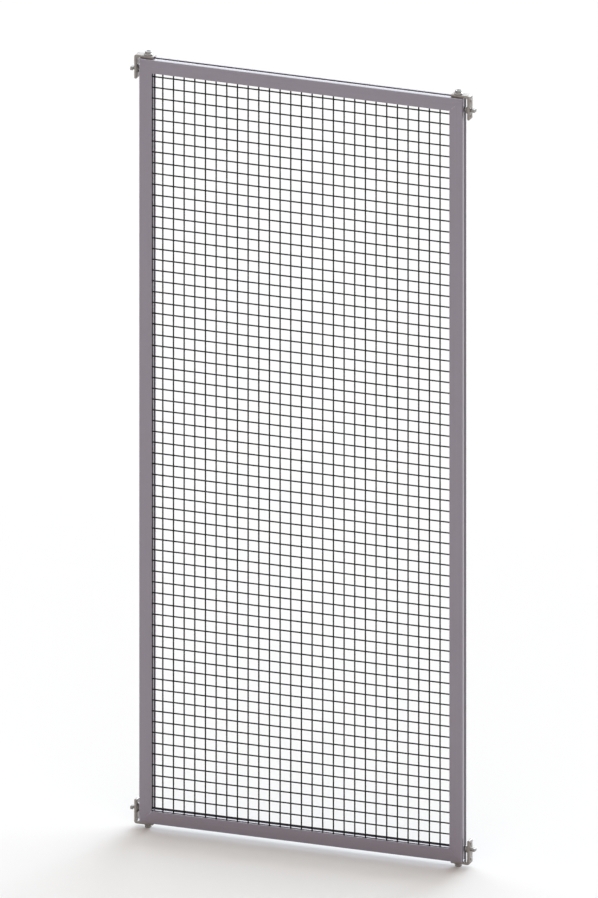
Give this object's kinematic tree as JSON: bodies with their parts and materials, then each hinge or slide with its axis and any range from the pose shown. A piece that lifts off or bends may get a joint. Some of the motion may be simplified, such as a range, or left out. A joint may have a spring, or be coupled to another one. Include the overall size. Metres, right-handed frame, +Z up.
{
  "type": "framed wire mesh guard panel",
  "caption": "Upright guard panel: a mitred aluminium slot-profile frame holds welded black wire mesh; corner brackets carry quarter-turn T-head bolts that lock in the slots of posts",
  "frame": {"origin": "halfway between the two lower post bolts, on the line that joins their axes: on the panel's middle line, 28.5 mm above the frame's lower edge and 18.5 mm behind its front", "axes": "+X to the right as seen from the front, +Y away from the front, +Z up"},
  "size_m": [0.807, 0.03, 1.8046],
  "materials": {
    "frame": "grey anodised, fine satin, with a slight violet cast",
    "mesh": "black powder coat on welded wire",
    "key": "plain cast",
    "bracket": "zinc die casting, blasted, warm grey",
    "fastener": "bright zinc plated"
  },
  "bodies": {
    "panel": {"stile_left": "frame", "stile_right": "frame", "rail_top": "frame", "rail_bottom": "frame", "wire_mesh": "mesh", "corner_key_top_left": "key", "corner_key_top_right": "key", "corner_key_bottom_left": "key", "corner_key_bottom_right": "key", "bracket_top_left": "bracket", "bracket_top_right": "bracket", "bracket_bottom_left": "bracket", "bracket_bottom_right": "bracket", "fixing_bolt_top_left": "fastener", "fixing_bolt_top_right": "fastener", "fixing_bolt_bottom_left": "fastener", "fixing_bolt_bottom_right": "fastener", "fixing_nut_top_left": "fastener", "fixing_nut_top_right": "fastener", "fixing_nut_bottom_left": "fastener", "fixing_nut_bottom_right": "fastener"},
    "turnbolt_top_left": {"post_bolt_top_left": "fastener", "post_nut_top_left": "fastener"},
    "turnbolt_top_right": {"post_bolt_top_right": "fastener", "post_nut_top_right": "fastener"},
    "turnbolt_bottom_left": {"post_bolt_bottom_left": "fastener", "post_nut_bottom_left": "fastener"},
    "turnbolt_bottom_right": {"post_bolt_bottom_right": "fastener", "post_nut_bottom_right": "fastener"}
  },
  "joints": [
    {"name": "quarter_turn_top_left", "type": "hinge", "parent": "panel", "child": "turnbolt_top_left", "pos_m": [-0.3931, 0, 1.719], "axis": [1, 0, 0], "range_deg": [0, 90]},
    {"name": "quarter_turn_top_right", "type": "hinge", "parent": "panel", "child": "turnbolt_top_right", "pos_m": [0.3931, 0, 1.719], "axis": [-1, 0, 0], "range_deg": [0, 90]},
    {"name": "quarter_turn_bottom_left", "type": "hinge", "parent": "panel", "child": "turnbolt_bottom_left", "pos_m": [-0.3931, 0, 0], "axis": [1, 0, 0], "range_deg": [0, 90]},
    {"name": "quarter_turn_bottom_right", "type": "hinge", "parent": "panel", "child": "turnbolt_bottom_right", "pos_m": [0.3931, 0, 0], "axis": [-1, 0, 0], "range_deg": [0, 90]}
  ]
}
